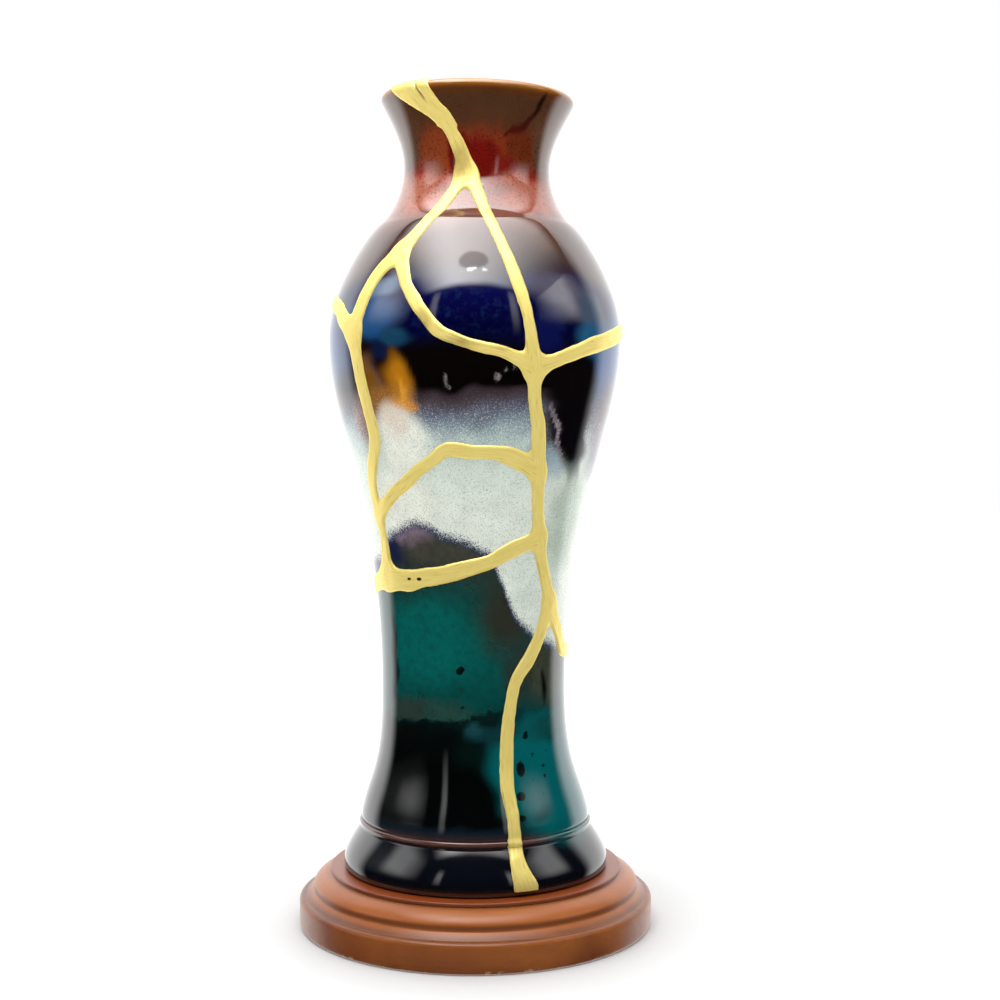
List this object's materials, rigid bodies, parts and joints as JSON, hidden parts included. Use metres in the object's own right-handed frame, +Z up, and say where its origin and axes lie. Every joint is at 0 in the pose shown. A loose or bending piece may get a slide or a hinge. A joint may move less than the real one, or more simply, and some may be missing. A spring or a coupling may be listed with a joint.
{
  "type": "vase",
  "caption": "Tall glazed stoneware vase with a flared mouth, mended along its cracks with raised gold seams, standing on a round turned wooden plinth.",
  "frame": {"origin": "middle of the plinth's underside", "axes": "+Z up along the vase's axis, -Y the front, which the picture shows"},
  "size_m": [0.127, 0.127, 0.2965],
  "materials": {
    "glazed_stoneware": "glossy layered glaze",
    "gilded_lacquer": "satin gold powder on lacquer",
    "stained_wood": "satin reddish-brown stain"
  },
  "bodies": {
    "root": {"vase_body": "glazed_stoneware", "gold_seams": "gilded_lacquer", "wood_plinth": "stained_wood"}
  },
  "joints": []
}
